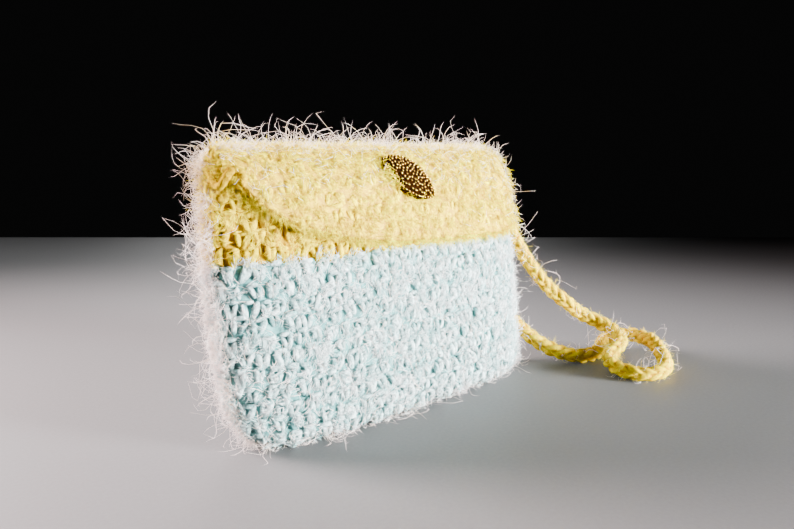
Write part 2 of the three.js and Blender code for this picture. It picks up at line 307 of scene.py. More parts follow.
# Meshes from arrays of points in millimetres
def make_piece(name, points, faces, material, tone_and_shade=None, uv=None):
    """A smooth piece from its points and arrays of faces, with a tone attribute, which is painted shade and
    light on the yarn, and its yarn map.
    """
    mesh = bpy.data.meshes.new(name)
    corners = np.concatenate([part.ravel() for part in faces]).astype(np.int32)
    sizes = np.concatenate([np.full(len(part), part.shape[1]) for part in faces])
    starts = np.concatenate([[0], np.cumsum(sizes)[:-1]]).astype(np.int32)
    mesh.vertices.add(len(points))
    mesh.vertices.foreach_set("co", (np.asarray(points) * MM).astype(np.float32).ravel())
    mesh.loops.add(len(corners))
    mesh.loops.foreach_set("vertex_index", corners)
    mesh.polygons.add(len(sizes))
    mesh.polygons.foreach_set("loop_start", starts)
    mesh.polygons.foreach_set("use_smooth", np.ones(len(sizes), bool))
    mesh.update(calc_edges=True)
    if tone_and_shade is not None:
        tones = mesh.attributes.new("tone_and_shade", "FLOAT", "POINT")
        tones.data.foreach_set("value", np.asarray(tone_and_shade, np.float32))
    if uv is not None:
        mesh.uv_layers.new(name="yarn").data.foreach_set("uv", np.asarray(uv, np.float32)[corners].ravel())
    mesh.materials.append(material)
    piece = bpy.data.objects.new(name, mesh)
    bpy.context.collection.objects.link(piece)
    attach(piece, "root")
    return piece


def unit(vectors):
    return vectors / np.maximum(np.linalg.norm(vectors, axis=-1, keepdims=True), 1e-9)


def run_of(line):
    """Length run along a line at each of its points."""
    return np.concatenate([[0], np.cumsum(np.linalg.norm(np.diff(line, axis=0), axis=1))])


def read_line(at, marks, line):
    """Points of a line, read at values of the marks along it."""
    return np.stack([np.interp(at, marks, line[:, axis]) for axis in range(line.shape[1])], -1)


def smooth_table(rows):
    """Smooth curve through a table's rows, read at values of its first column."""
    table = np.asarray(rows, float)
    at, values = table[:, 0], table[:, 1:]
    slopes = np.gradient(values, at, axis=0)

    def read(x):
        x = np.clip(np.asarray(x, float), at[0], at[-1])
        i = np.clip(np.searchsorted(at, x) - 1, 0, len(at) - 2)
        step = (at[i + 1] - at[i])[..., None]
        t = (x - at[i])[..., None] / step
        return ((1 + 2 * t) * (1 - t) ** 2 * values[i] + t * (1 - t) ** 2 * step * slopes[i]
                + t * t * (3 - 2 * t) * values[i + 1] + t * t * (t - 1) * step * slopes[i + 1])

    return read


section_at = smooth_table(SECTIONS)
flap_edge_at = smooth_table(FLAP_EDGE)


def ring_quads(rings, sides):
    """Faces between the rings of a tube whose points are numbered ring by ring."""
    index = np.arange(rings * sides).reshape(rings, sides)
    beside = np.roll(index, -1, 1)
    return np.stack([index[:-1], beside[:-1], beside[1:], index[1:]], -1).reshape(-1, 4)


def fan(ring, hub):
    """Triangles from a closed ring of points to one point."""
    return np.stack([ring, np.roll(ring, -1), np.full(len(ring), hub)], -1)


def tubes(centres, radii, sides, hint):
    """Closed tubes along many middle lines, pointed at their tips.

    centres has the shape (count, rings + 1, 3), with the tip last, and radii (count, rings).
    """
    count, rings = radii.shape
    onward = unit(np.gradient(centres, axis=1))[:, :rings]
    first = unit(np.cross(onward, hint[:, None]))
    second = np.cross(onward, first)
    turn = np.arange(sides) * 2 * np.pi / sides
    ring = first[:, :, None, :] * np.cos(turn)[:, None] + second[:, :, None, :] * np.sin(turn)[:, None]
    skin = centres[:, :rings, None, :] + radii[:, :, None, None] * ring
    points = np.concatenate([skin.reshape(count, rings * sides, 3), centres[:, rings:]], 1)
    side = np.arange(sides)
    tips = fan((rings - 1) * sides + side, rings * sides)
    foot = side[::-1][None, :]
    shift = (np.arange(count) * (rings * sides + 1))[:, None, None]
    faces = [(part + shift).reshape(-1, part.shape[1]) for part in (ring_quads(rings, sides), tips, foot)]
    return points.reshape(-1, 3), faces


def per_tube(ring_values, tip_values, sides):
    """Spreads a value for each ring, and one for the tip, over the points that tubes() makes."""
    return np.concatenate([np.repeat(ring_values, sides, axis=1), tip_values[:, None]], 1).reshape(-1)


# Where the fabric lies
PROBE = 0.8
QUARTER_STEPS, CORNER_CROWDING = 180, 0.55


def pouch_point(z, angle):
    """Outside of the pouch at a height and an angle round its section."""
    left, right, front, back, square = np.moveaxis(section_at(z), -1, 0)
    along, across = np.cos(angle), np.sin(angle)
    x = np.sign(along) * np.abs(along) ** (2 / square) * np.where(along < 0, left, right)
    y = np.sign(across) * np.abs(across) ** (2 / square) * np.where(across < 0, front, back)
    return np.stack(np.broadcast_arrays(x, y + LEAN * z, z), -1)


def ring_angles():
    """Angles round a section, closest where its curve is sharpest."""
    u = np.linspace(-1, 1, QUARTER_STEPS, endpoint=False)
    quarter = np.pi / 4 * (1 + np.sign(u) * np.abs(u) ** CORNER_CROWDING)
    return np.concatenate([turn * np.pi / 2 + quarter for turn in range(4)])


RING_ANGLES = ring_angles()


def round_pouch(z, share):
    """Places round the pouch at one height: point, direction round, direction up, direction out."""
    def at(height, ahead=0.0):
        loop = pouch_point(height, RING_ANGLES)
        loop = np.concatenate([loop, loop[:1]])
        gone = run_of(loop)
        return read_line(np.mod(share + ahead / gone[-1], 1.0) * gone[-1], gone, loop)

    onward = unit(at(z, PROBE) - at(z, -PROBE))
    rise = unit(at(min(z + PROBE, SECTIONS[-1][0])) - at(max(z - PROBE, 0)))
    out = unit(np.cross(onward, rise))
    return at(z), onward, np.cross(out, onward), out


FLAP_X = np.linspace(FLAP_LEFT, FLAP_RIGHT, 79)
FLAP_DISTANCE = np.linspace(0, 66, 133)
FLAP_START = BAND_TOP + 0.3
FOLD_STEPS, DROP_STEPS, DROP_LENGTH = 120, 80, 40


def flap_lines():
    """Middle layer of the flap: a line for each place across, over the fold and down the front."""
    reach = np.where(FLAP_X < 0, FLAP_REACH_LEFT, FLAP_REACH_RIGHT)
    full = (1 - np.abs(FLAP_X / reach) ** FLAP_SQUARE) ** (1 / FLAP_SQUARE)

    def front_at(z):
        return LEAN * z - (section_at(z)[2] + FLAP_STAND_OFF) * full - FABRIC / 2

    def level(y, z):
        return np.stack([FLAP_X, y, np.full_like(FLAP_X, z)], -1)

    start = level(LEAN * FLAP_START + section_at(BAND_TOP)[3] * full - FABRIC / 2, FLAP_START)
    foot = level(front_at(FOLD_FOOT), FOLD_FOOT)
    low = level(front_at(FLAP_LOW) - FLAP_LIFT, FLAP_LOW)
    up = unit(foot - low)
    pull = start + np.array([0, LEAN * FOLD_RISE_BACK, FOLD_RISE_BACK])
    push = foot + up * FOLD_RISE_FRONT
    t = np.linspace(0, 1, FOLD_STEPS)[None, :, None]
    fold = ((1 - t) ** 3 * start[:, None] + 3 * t * (1 - t) ** 2 * pull[:, None]
            + 3 * t * t * (1 - t) * push[:, None] + t ** 3 * foot[:, None])
    drop = foot[:, None] - up[:, None] * np.linspace(0.5, DROP_LENGTH, DROP_STEPS)[None, :, None]
    lines = np.concatenate([fold, drop], 1)
    return np.stack([read_line(FLAP_DISTANCE, run_of(line), line) for line in lines])


FLAP_GRID = flap_lines()


def on_flap(x, distance):
    """Places on the flap's middle layer: point, direction across, direction onward, direction out."""
    def at(across, down):
        i = np.clip((across - FLAP_X[0]) / (FLAP_X[1] - FLAP_X[0]), 0, len(FLAP_X) - 1.001)
        j = np.clip(down / (FLAP_DISTANCE[1] - FLAP_DISTANCE[0]), 0, len(FLAP_DISTANCE) - 1.001)
        i0, j0 = i.astype(int), j.astype(int)
        fi, fj = (i - i0)[..., None], (j - j0)[..., None]
        return ((FLAP_GRID[i0, j0] * (1 - fi) + FLAP_GRID[i0 + 1, j0] * fi) * (1 - fj)
                + (FLAP_GRID[i0, j0 + 1] * (1 - fi) + FLAP_GRID[i0 + 1, j0 + 1] * fi) * fj)

    x, distance = np.broadcast_arrays(np.asarray(x, float), np.asarray(distance, float))
    across = unit(at(x + 1, distance) - at(x - 1, distance))
    onward = unit(at(x, distance + PROBE) - at(x, distance - PROBE))
    out = unit(np.cross(onward, across))
    return at(x, distance), across, np.cross(across, out), out


def flap_length(x):
    return flap_edge_at((x - FLAP_LEFT) / (FLAP_RIGHT - FLAP_LEFT))[..., 0]


# Wrist strap: a crochet chain, worked as four columns of slanting loops round a cord
STRAP_SIDES, STRAP_STEP = 32, 0.42
STRAP_FACES = (-0.75, -0.6, 0.3)
CHAIN_PITCH, CHAIN_SLANT = 4.4, 0.42
CHAIN_CORE, CHAIN_SWELL, CHAIN_VARIES = 0.64, 0.57, 0.16
STRAP_LOWEST = 0.12


def strap_line(step):
    """Smooth line through the strap's route, with points a step apart, and the length run along it."""
    route = np.array(STRAP_ROUTE, float)
    full = np.vstack([2 * route[0] - route[1], route, 2 * route[-1] - route[-2]])
    t = np.linspace(0, 1, 40, endpoint=False)[:, None]
    spans = [0.5 * (2 * b + (c - a) * t + (2 * a - 5 * b + 4 * c - d) * t ** 2
                    + (3 * b - a - 3 * c + d) * t ** 3)
             for a, b, c, d in zip(full, full[1:], full[2:], full[3:])]
    line = np.vstack([*spans, route[-1:]])
    gone = run_of(line)
    want = np.linspace(0, gone[-1], int(gone[-1] / step) + 1)
    return read_line(want, gone, line), want


def strap_frames(line):
    """Directions across the strap that don't spin as it bends."""
    onward = unit(np.gradient(line, axis=0))
    first = np.zeros_like(line)
    ahead = np.array(STRAP_FACES)
    for i, direction in enumerate(onward):
        ahead = ahead - direction * (ahead @ direction)
        ahead = ahead / np.linalg.norm(ahead)
        first[i] = ahead
    return onward, first, np.cross(onward, first)


def scatter(loop, column):
    """A settled share from 0 to 1 for each loop of each column."""
    value = np.sin(loop * 12.9898 + column * 78.233) * 43758.5453
    return value - np.floor(value)


def wrist_strap():
    """The chain as one closed tube that swells into loops, its middle line and the length run along it."""
    line, gone = strap_line(STRAP_STEP)
    _, first, second = strap_frames(line)
    angle = np.arange(STRAP_SIDES) * 2 * np.pi / STRAP_SIDES
    column = np.floor(angle / (np.pi / 2)).astype(int)
    across = (angle - column * np.pi / 2) / (np.pi / 4) - 1
    slant = np.where(column % 2 == 0, 1.0, -1.0)
    phase = gone[:, None] / CHAIN_PITCH + (slant * across * CHAIN_SLANT + 0.5 * (column % 2))[None, :]
    loop = np.floor(phase)
    t = phase - loop
    crown = np.sin(np.pi * t) ** 0.5 * np.sqrt(np.maximum(1 - 0.82 * np.abs(across)[None, :] ** 2.4, 0))
    swell = CHAIN_SWELL + CHAIN_VARIES * (scatter(loop, column) - 0.5)
    radius = STRAP_DIAMETER / 2 * (CHAIN_CORE + swell * crown)
    radius[[0, -1]] *= 0.4
    ring = first[:, None] * np.cos(angle)[:, None] + second[:, None] * np.sin(angle)[:, None]
    points = line[:, None] + radius[..., None] * ring
    points[..., 2] = np.maximum(points[..., 2], STRAP_LOWEST)
    side = np.arange(STRAP_SIDES)
    total = len(line) * STRAP_SIDES
    caps = np.concatenate([fan(side[::-1], total), fan(total - STRAP_SIDES + side, total + 1)])
    everything = np.vstack([points.reshape(-1, 3), line[:1], line[-1:]])
    uv = np.stack([t * 1.3 + loop * 0.37, np.broadcast_to((across + 1) / 2 + column, t.shape)], -1)
    # Painted shade in the dips between the chain's loops and towards the edges of its columns, painted
    # light on each loop's crown
    tone_and_shade = np.concatenate([np.clip(crown, 0, 1).ravel(), [0, 0]])
    piece = make_piece("wrist_strap_chain", everything, [ring_quads(len(line), STRAP_SIDES), caps],
                       STRAP_YARN, tone_and_shade, np.vstack([uv.reshape(-1, 2), [[0, 0], [0, 0]]]))
    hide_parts("wrist_strap")
    return piece, line, gone


# Loose fibres: heights they keep between, and their lengths (short, long, share of long) and widths
FIBRE_SIDES = 3
FIBRE_FLOOR, FIBRE_CEILING, FIBRE_LOWEST = 0.15, 96.5, 0.03
CHAIN_LENGTHS, STRAY_LENGTHS, CHAIN_WIDTHS = (1.9, 4.0, 0.1), (5.0, 13.0, 0.3), (0.035, 0.07)
CHAIN_ROOT = 2.4
HAZE_LENGTHS, STRAND_LENGTHS, HAZE_WIDTHS = (3.0, 6.0, 0.05), (3.6, 7.0, 0.1), (0.05, 0.1)
EDGE_LENGTHS, EDGE_WIDTHS = (4.8, 13.5, 0.26), (0.033, 0.058)
HALO_LENGTHS, HALO_WIDTHS = (1.8, 4.2), (0.04, 0.075)
FRINGE_LENGTHS, FRINGE_WIDTHS = (1.6, 4.0), (0.04, 0.08)
FUZZ_LENGTHS = (1.6, 3.6)


def fibres(name, root, aim, length, width, curl, material, rings=2):
    """Thin tapering fibres that leave their roots along aim and bend away in arcs, with a slight wave."""
    count = len(root)
    aim = unit(aim)
    side = unit(np.cross(aim, rng.normal(size=(count, 3))))
    other = np.cross(aim, side)
    arc = curl * rng.uniform(0.3, 1.2, (count, 1, 1)) * rng.choice([-1.0, 1.0], (count, 1, 1))
    wave = rng.normal(0, 0.08 * curl, (count, 1, 1))
    turn = rng.uniform(3, 7, (count, 1, 1))
    t = np.linspace(0, 1, rings + 1)[None, :, None]
    shape = (aim[:, None] * np.sin(arc * t) / arc + side[:, None] * (1 - np.cos(arc * t)) / arc
             + other[:, None] * wave * np.sin(turn * t))
    centre = root[:, None] + shape * length[:, None, None]
    centre[..., 2] = np.clip(centre[..., 2], FIBRE_FLOOR, FIBRE_CEILING)
    radius = width[:, None] * (1 - 0.35 * t[:, :rings, 0])
    points, faces = tubes(centre, radius, FIBRE_SIDES, other)
    points[:, 2] = np.maximum(points[:, 2], FIBRE_LOWEST)
    share = np.broadcast_to(t[0, :rings, 0], (count, rings))
    return make_piece(name, points, faces, material, per_tube(share, np.ones(count), FIBRE_SIDES))


def lengths(count, short, long, share_long):
    """Mostly short fibres with some long ones."""
    common = short * rng.uniform(0.5, 1.3, count)
    stray = long * rng.uniform(0.55, 1.0, count)
    return np.where(rng.random(count) < share_long, stray, common)


def strap_fibres(name, line, count, sizes, curl, material):
    """Fibres round the strap's chain, leaning along it."""
    long = lengths(count, *sizes)
    onward, first, second = strap_frames(line)
    pick = rng.integers(8, len(line) - 8, count)
    angle = rng.uniform(0, 2 * np.pi, count)[:, None]
    out = first[pick] * np.cos(angle) + second[pick] * np.sin(angle)
    aim = out * rng.uniform(0.3, 1.0, (count, 1)) + onward[pick] * rng.normal(0, 0.9, (count, 1))
    aim = aim + rng.normal(0, 0.35, (count, 3))
    width = rng.uniform(*CHAIN_WIDTHS, count)
    return fibres(name, line[pick] + out * CHAIN_ROOT, aim, long, width, curl, material, rings=4)


chain, chain_line, chain_gone = wrist_strap()
chain_fibres = strap_fibres("wrist_strap_fibres", chain_line, 2100, CHAIN_LENGTHS, 1.3, STRAP_FIBRE)
chain_strays = strap_fibres("wrist_strap_strays", chain_line, 250, STRAY_LENGTHS, 2.8, PALE_FIBRE)


# Crocheted walls under the stitches
WALL_SIDES, WALL_INSET = 120, 1.3
FLAP_WALL_COLUMNS, FLAP_WALL_ROWS, FLAP_WALL_MARGIN = 72, 44, 0.8
FLAP_WALL_OVER, FLAP_WALL_UNDER = 1.6, 1.0


def turned_shell(name, rows, material):
    """Shell round the pouch from rows of height and inset; a row with no inset closes on the middle."""
    share = np.arange(WALL_SIDES) / WALL_SIDES
    points, faces, before = [], [], []
    for z, inset in rows:
        first = sum(len(part) for part in points)
        if inset is None:
            points.append(np.array([[0, LEAN * z, z]]))
        else:
            place, _, _, out = round_pouch(z, share)
            points.append(place - unit(out * np.array([1, 1, 0])) * inset)
        ring = first + np.arange(len(points[-1]))
        if len(before) == 1:
            faces.append(fan(ring[::-1], before[0]))
        elif len(ring) == 1 and len(before):
            faces.append(fan(before, ring[0]))
        elif len(before):
            faces.append(np.stack([before, np.roll(before, -1), np.roll(ring, -1), ring], -1))
        before = ring
    return make_piece(name, np.vstack(points), faces, material)


def pouch_wall():
    low = [(0.35, None), (0.35, 4.0), (1.2, 2.0), (3.0, WALL_INSET)]
    outer = [(z, WALL_INSET) for z in np.linspace(6, BAND_BOTTOM, 14)]
    inner = [(z, FABRIC) for z in np.linspace(BAND_BOTTOM, 10, 10)]
    piece = turned_shell("pouch_wall", low + outer + inner + [(5.5, 5.5), (4.5, None)], AQUA_GROUND)
    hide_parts("pouch_body")


def band_wall():
    low, shoulder, lip = BAND_BOTTOM + 0.3, BAND_TOP - 1.6, BAND_TOP - 0.6
    outer = [(z, WALL_INSET) for z in np.linspace(low, shoulder, 7)]
    inner = [(z, FABRIC) for z in np.linspace(shoulder, low, 7)]
    rows = outer + [(lip, 2.0), (lip, 3.2)] + inner + [(low, WALL_INSET)]
    piece = turned_shell("band_wall", rows, YELLOW_GROUND)
    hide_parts("top_band")


def flap_wall():
    """Sheet of the flap under its stitches, folded over and cut along its free edge."""
    columns, rows = FLAP_WALL_COLUMNS, FLAP_WALL_ROWS
    x = np.linspace(FLAP_LEFT + FLAP_WALL_MARGIN, FLAP_RIGHT - FLAP_WALL_MARGIN, columns + 1)
    share = np.linspace(0, 1, rows + 1)
    across = np.repeat(x[:, None], rows + 1, 1)
    down = share[None, :] * (flap_length(x) - FLAP_WALL_MARGIN)[:, None]
    point, _, _, out = on_flap(across, down)
    top, under = point + out * FLAP_WALL_OVER, point - out * FLAP_WALL_UNDER
    points = np.vstack([top.reshape(-1, 3), under.reshape(-1, 3)])
    half = (columns + 1) * (rows + 1)
    index = np.arange(half).reshape(columns + 1, rows + 1)
    face = np.stack([index[:-1, :-1], index[:-1, 1:], index[1:, 1:], index[1:, :-1]], -1).reshape(-1, 4)
    rim = np.concatenate([index[:, 0], index[-1, 1:], index[-2::-1, -1], index[0, -2:0:-1]])
    ahead = np.roll(rim, -1)
    wall = np.stack([rim, ahead, ahead + half, rim + half], -1)
    piece = make_piece("flap_wall", points, [face, face[:, ::-1] + half, wall], FLAP_GROUND)
    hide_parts("flap")
    return piece


# Stitches
LEG_SIDES = 5
LEG_T = np.array([0, 0.16, 0.42, 0.7, 0.9, 1.0])
LEG_SWELL = np.array([0.5, 0.9, 1.05, 1.0, 0.6])
LEG_DEPTH = np.array([-1.1, -0.3, 0.1, 0.05, -0.5, -1.0])
# Painted shade and light along each leg: dark where it dives in at its ends, lit on its crown
LEG_SHADING = np.array([0.1, 0.55, 1.0, 0.9, 0.4])

# Strokes of a stitch: foot and top as shares of its width and height, and thickness
LEFT_LEG, RIGHT_LEG = ((-0.05, -0.46), (-0.31, 0.46), 1.0), ((0.05, -0.46), (0.31, 0.46), 1.0)
TOP_BAR = ((-0.36, 0.44), (0.36, 0.5), 0.8)

# Stitches that bind the edges: width, height and how far in from the edge they sit
BINDING_WIDTH, BINDING_HEIGHT, BINDING_INSET = 4.6, 3.2, 1.5
STITCH_LOWEST = 0.1
BASE_LEFT, BASE_RIGHT, BASE_DEPTH = -46.75, 51, 7.2


def stitch_legs(point, across, up, out, width=STITCH_WIDTH, height=ROW_HEIGHT, plump=0.9, loose=1.0,
                bars=True):
    """Legs of yarn for each stitch, from its foot to the sides of its top, and the bar across its top."""
    count = len(point)
    common = rng.normal(0, 0.35 * loose, (count, 2))
    lean = rng.normal(0, 0.2 * loose, (count, 1))
    strokes = [LEFT_LEG, RIGHT_LEG] + [TOP_BAR] * bars
    middles, radii = [], []
    for foot, top, thick in strokes:
        shift = common + rng.normal(0, 0.3 * loose, (count, 2))
        size = rng.uniform(0.75, 1.2, (count, 1))
        sideways = (foot[0] + (top[0] - foot[0]) * LEG_T) * width * size + shift[:, :1]
        upward = (foot[1] + (top[1] - foot[1]) * LEG_T) * height * size + shift[:, 1:]
        sideways = sideways + upward * lean
        depth = LEG_DEPTH + rng.normal(0.25 - plump, 0.22 * loose, (count, 1))
        moves = ((across, sideways), (up, upward), (out, depth))
        middles.append(point[:, None] + sum(way[:, None] * far[..., None] for way, far in moves))
        radii.append(plump * thick * LEG_SWELL * size)
    return np.concatenate(middles), np.concatenate(radii), np.tile(out, (len(strokes), 1))


def stitch_piece(name, legs, material):
    """One piece from many legs, with painted light on their crowns and outward sides, painted shade where
    they dive in and on their inward sides, and the yarn's map along them.
    """
    middles, radii, hints = (np.concatenate([leg[i] for leg in legs]) for i in range(3))
    points, faces = tubes(middles, radii, LEG_SIDES, hints)
    points[:, 2] = np.maximum(points[:, 2], STITCH_LOWEST)
    count, rings = radii.shape
    # Painted shade on the side of each leg turned in to the fabric, painted light on the side turned out
    crown = np.clip(LEG_SHADING + rng.normal(0, 0.24, (count, 1)), 0, 1)
    facing = 0.5 - 0.5 * np.cos(np.arange(LEG_SIDES) * 2 * np.pi / LEG_SIDES - np.pi / 2)
    skin = (crown[:, :, None] * (0.4 + 0.6 * facing)).reshape(count, -1)
    tone_and_shade = np.concatenate([skin, np.zeros((count, 1))], 1)
    start = rng.uniform(0, 40, (count, 1))
    u = np.concatenate([np.repeat(LEG_T[:rings], LEG_SIDES), [1]])[None, :] + start
    v = np.concatenate([np.tile(np.arange(LEG_SIDES) / LEG_SIDES, rings), [0.5]])[None, :] + start * 1.7
    uv = np.stack([u, v], -1).reshape(-1, 2)
    return make_piece(name, points, faces, material, tone_and_shade.ravel(), uv)


def rows_round(bottom, top, count, first_row):
    """Rows of stitches round the purse, each set half a stitch on from the one below."""
    legs = []
    height = (top - bottom) / count
    for row in range(count):
        z = bottom + (row + 0.5) * height
        share = (np.arange(STITCHES_ROUND) + 0.5 * ((row + first_row) % 2)) / STITCHES_ROUND
        point, onward, rise, out = round_pouch(z, share)
        around = np.linalg.norm(np.roll(point, -1, 0) - point, axis=1).mean()
        legs.append(stitch_legs(point, onward, rise, out, around, height))
    return legs


def base_rows():
    """Stitches of the base, lying flat under the purse."""
    legs = []
    for row, y in enumerate(np.linspace(-BASE_DEPTH, BASE_DEPTH, 4)):
        x = np.arange(BASE_LEFT, BASE_RIGHT, STITCH_WIDTH) + 0.5 * STITCH_WIDTH * (row % 2)
        point = np.stack([x, np.full_like(x, y), np.full_like(x, 0.3)], -1)
        ones = np.ones((len(x), 1))
        legs.append(stitch_legs(point, ones * [1, 0, 0], ones * [0, -1, 0], ones * [0, 0, -1],
                                STITCH_WIDTH, 4.8, bars=False))
    return legs


def rim_row():
    """Stitches that bind the rim of the mouth, laid over it from outside to inside."""
    share = np.arange(STITCHES_ROUND) / STITCHES_ROUND
    point, onward, _, out = round_pouch(BAND_TOP - 0.4, share)
    inward = -unit(out * np.array([1, 1, 0]))
    up = np.cross(onward, inward)
    up = up * np.sign(up[:, 2:])
    return stitch_legs(point + inward * FABRIC / 2, onward, inward, up, STITCH_WIDTH, 3.0, bars=False)


def flap_rows():
    """Stitches on both faces of the flap and round its ends and free edge."""
    legs = []
    for face in (1, -1):
        for row, distance in enumerate(np.arange(2.2, 50, ROW_HEIGHT)):
            x = np.arange(FLAP_LEFT + 3.2, FLAP_RIGHT - 2.0, STITCH_WIDTH) + 0.5 * STITCH_WIDTH * (row % 2)
            x = x[(x < FLAP_RIGHT - 2.2) & (flap_length(x) > distance + 2.0)]
            point, across, onward, out = on_flap(x, distance)
            point = point + out * (FABRIC / 2 * face)
            legs.append(stitch_legs(point, across, -onward, out * face, bars=face > 0))
    for x, aim in ((FLAP_LEFT + BINDING_INSET, -1), (FLAP_RIGHT - BINDING_INSET, 1)):
        distance = np.arange(1.5, flap_length(x) - 1.0, BINDING_WIDTH)
        point, across, onward, out = on_flap(x, distance)
        legs.append(stitch_legs(point + across * aim * 1.2, onward, out, across * aim,
                                BINDING_WIDTH, BINDING_HEIGHT, bars=False))
    x = np.arange(FLAP_LEFT + BINDING_INSET, FLAP_RIGHT - 1, 0.25)
    gone = run_of(on_flap(x, flap_length(x) - 1.6)[0])
    x = np.interp(np.arange(1.0, gone[-1], BINDING_WIDTH), gone, x)
    point, across, onward, out = on_flap(x, flap_length(x) - 1.6)
    slope = (flap_length(x + 0.5) - flap_length(x - 0.5))[:, None]
    along = unit(across + onward * slope)
    away = unit(onward - across * slope)
    legs.append(stitch_legs(point + away * 0.8, along, out, away,
                            BINDING_WIDTH, BINDING_HEIGHT, bars=False))
    return legs


FIRST_ROW, YARN_CHANGE, LAST_ROW = 0.6, BAND_BOTTOM + 0.2, BAND_TOP - 0.3
pouch_wall()
band_wall()
sheet = flap_wall()
stitch_piece("pouch_stitches", rows_round(FIRST_ROW, YARN_CHANGE, ROWS_AQUA, 0) + base_rows(),
             AQUA_YARN)
stitch_piece("band_stitches", rows_round(YARN_CHANGE, LAST_ROW, ROWS_BAND, ROWS_AQUA) + [rim_row()],
             YELLOW_YARN)
flap_stitches = stitch_piece("flap_stitches", flap_rows(), FLAP_YARN)


# Bloom of loose fibres over the crochet: heights it covers, and shares of the way round from the right seam
PANEL, PANEL_EDGE = (0.6, BAND_BOTTOM + 1), (1, BAND_BOTTOM)
BAND, SEAM = (BAND_BOTTOM, BAND_TOP), (2, BAND_TOP)
FRONT, BACK = (0.5, 1.0), (0.0, 0.5)
LEFT_SEAM, RIGHT_SEAM = (0.47, 0.51), (-0.02, 0.03)
HEIGHT_GROUPS = 60
# The front's bloom thins towards the left seam as painted shade there
SEAM_REACH, THIN_WIDTH, THIN_SHARE = 64, 50, 0.6
VEIL_START, VEIL_DEPTH, VEIL_WIDTH, VEIL_LOW, VEIL_FADE = 9, 24, 34, 48, 1.6


def pouch_places(count, low, high, share_range=(0, 1)):
    """Random places on the outside of the pouch or band."""
    heights = np.sort(rng.uniform(low, high, count))
    parts = []
    for group in np.array_split(heights, HEIGHT_GROUPS):
        if len(group):
            share = rng.uniform(*share_range, len(group))
            place = round_pouch(float(group.mean()), share)
            lift = (group - group.mean())[:, None] * place[2]
            parts.append((place[0] + lift, *place[1:]))
    return [np.concatenate([part[i] for part in parts]) for i in range(4)]


def haze(name, places, lift, stand, material, each=6):
    """Tufts of short fine fibres that lie close over the stitches, each tuft brushed one way."""
    point, first, second, out = (np.repeat(part, each, 0) for part in places)
    count = len(point)
    lean = rng.normal(math.pi / 2, 0.9, (len(places[0]), 1))
    angle = np.repeat(lean, each, 0) + rng.normal(0, 0.35, (count, 1))
    aim = first * np.cos(angle) + second * np.sin(angle) + out * (stand * rng.uniform(0.2, 1.4, (count, 1)))
    drift = first * rng.normal(0, 0.55, (count, 1)) + second * rng.normal(0, 0.55, (count, 1))
    root = point + drift + out * (lift + rng.uniform(-0.3, 0.3, (count, 1)))
    long = lengths(count, *HAZE_LENGTHS)
    return fibres(name, root, aim, long, rng.uniform(*HAZE_WIDTHS, count), 0.9, material)


def flap_outside(x, distance):
    """Places on the outside of the flap, without those past its free edge."""
    keep = distance < flap_length(x)
    point, across, onward, out = on_flap(x[keep], distance[keep])
    return point + out * FABRIC / 2, across, onward, out


def flap_places(count, low=0.5, high=FLAP_LONGEST):
    """Random places on the outside of the flap."""
    x = rng.uniform(FLAP_LEFT + 0.5, FLAP_RIGHT - 0.5, count)
    distance = rng.uniform(low, high, count)
    return flap_outside(x, distance)


def thinned_for_shade(places):
    """Fewer of the places towards the left seam, so that the left of the front is darker: painted shade."""
    rightward = np.clip((places[0][:, 0] + SEAM_REACH) / THIN_WIDTH, 0, 1)
    keep = rng.random(len(places[0])) < THIN_SHARE + (1 - THIN_SHARE) * rightward
    return [part[keep] for part in places]


def veil_places(by_fold, by_end):
    """Random places on the flap where the pale bloom lies: thickest by the fold and by the right end."""
    x = np.append(rng.uniform(FLAP_LEFT + 1, FLAP_RIGHT - 1, by_fold),
                  FLAP_RIGHT - 1 - VEIL_WIDTH * rng.random(by_end) ** VEIL_FADE)
    distance = np.append(VEIL_START + VEIL_DEPTH * rng.random(by_fold) ** VEIL_FADE,
                         rng.uniform(VEIL_START, VEIL_LOW, by_end))
    return flap_outside(x, distance)


def strands(name, places, material, slot):
    """Longer pale fibres that lie singly across the stitches."""
    point, first, second, out = places
    count = len(point)
    angle = rng.uniform(0, 2 * np.pi, (count, 1))
    aim = first * np.cos(angle) + second * np.sin(angle) + out * rng.uniform(0.1, 0.4, (count, 1))
    width = rng.uniform(*HAZE_WIDTHS, count)
    long = lengths(count, *STRAND_LENGTHS)
    return fibres(name, point + out * 0.4, aim, long, width, 1.0, material, rings=3)


def tufts(places, each, spread):
    """Roots and directions of fibres that fan out from shared roots."""
    point, _, _, out = places
    lean = out + rng.normal(0, 0.55, out.shape)
    root = np.repeat(point, each, 0)
    return root, np.repeat(lean, each, 0) + rng.normal(0, spread, root.shape)


def edge_fibres(name, groups, material):
    """Longer fibres in tufts that stand out round the seams, the fold and the foot of the purse."""
    root, aim = (np.concatenate(part) for part in zip(*[tufts(places, 6, 0.5) for places in groups]))
    count = len(root)
    long = lengths(count, *EDGE_LENGTHS)
    return fibres(name, root, aim, long, rng.uniform(*EDGE_WIDTHS, count), 2.2, material, rings=5)


def halo(name, groups, material):
    """Dense short fibres that stand out all along an edge."""
    point, out = (np.concatenate([places[i] for places in groups]) for i in (0, 3))
    count = len(point)
    aim = out + rng.normal(0, 0.6, out.shape)
    long = rng.uniform(*HALO_LENGTHS, count)
    return fibres(name, point - out * 0.3, aim, long, rng.uniform(*HALO_WIDTHS, count), 1.4, material)


def flap_end(count, x, reach):
    """Random places along an end of the flap from its back edge, facing out of it."""
    aim = math.copysign(1, x)
    distance = rng.uniform(0.5, reach, count)
    point, across, onward, out = on_flap(x, distance)
    return point + across * aim + out * rng.uniform(-2, 2, (count, 1)), onward, out, across * aim


